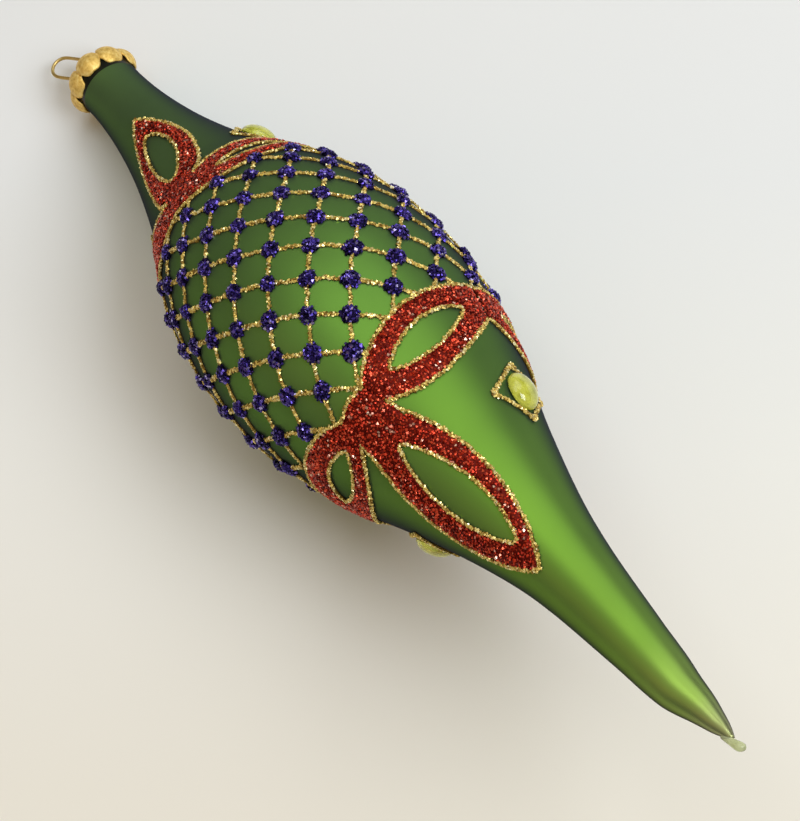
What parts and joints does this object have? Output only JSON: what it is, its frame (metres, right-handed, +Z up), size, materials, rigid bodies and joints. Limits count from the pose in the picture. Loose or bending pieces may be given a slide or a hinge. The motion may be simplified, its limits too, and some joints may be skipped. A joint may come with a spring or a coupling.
{
  "type": "olive-shaped glass ornament",
  "caption": "Olive-shaped lacquered glass tree ornament with a long pointed end, a glitter net with dots, red bows and jewels, and a pull-off petal cap with a wire loop for hanging.",
  "frame": {"origin": "on the table, under the middle of the lying ornament's box", "axes": "+Z up from the table, +X from the cap towards the raised tip, the ornament's axis lies in the XZ plane"},
  "size_m": [0.241, 0.0628, 0.07],
  "materials": {
    "green_lacquered_glass": "satin metallic lacquer over silvered glass",
    "gilt_sheet": "matte gilt",
    "gilt_wire": "bright gilt",
    "gold_glitter": "coarse glitter grain",
    "violet_glitter": "coarse glitter grain",
    "red_glitter": "fine glitter grain",
    "lemon_jewel": "clear domed acrylic"
  },
  "bodies": {
    "ornament": {"glass_shell": "green_lacquered_glass", "net_lines_left": "gold_glitter", "net_lines_right": "gold_glitter", "dot_ring_01": "violet_glitter", "dot_ring_02": "violet_glitter", "dot_ring_03": "violet_glitter", "dot_ring_04": "violet_glitter", "dot_ring_05": "violet_glitter", "dot_ring_06": "violet_glitter", "dot_ring_07": "violet_glitter", "dot_ring_08": "violet_glitter", "dot_ring_09": "violet_glitter", "dot_ring_10": "violet_glitter", "dot_ring_11": "violet_glitter", "lower_bow_front": "red_glitter", "lower_bow_back": "red_glitter", "upper_bow_front": "red_glitter", "upper_bow_back": "red_glitter", "lower_edging_front": "gold_glitter", "lower_edging_back": "gold_glitter", "upper_edging_front": "gold_glitter", "upper_edging_back": "gold_glitter", "jewel_bed_lower_right": "gold_glitter", "jewel_bed_lower_left": "gold_glitter", "jewel_bed_upper_right": "gold_glitter", "jewel_bed_upper_left": "gold_glitter", "jewel_lower_right": "lemon_jewel", "jewel_lower_left": "lemon_jewel", "jewel_upper_right": "lemon_jewel", "jewel_upper_left": "lemon_jewel"},
    "cap": {"ornament_cap": "gilt_sheet"},
    "hanger": {"hanger_wire": "gilt_wire"}
  },
  "joints": [
    {"name": "cap_pull", "type": "slide", "parent": "ornament", "child": "cap", "axis": [-0.9658, 0, -0.2593], "range_m": [0, 0.03]},
    {"name": "hanger_slide", "type": "slide", "parent": "cap", "child": "hanger", "axis": [-0.9658, 0, -0.2593], "range_m": [0, 0.003]}
  ]
}
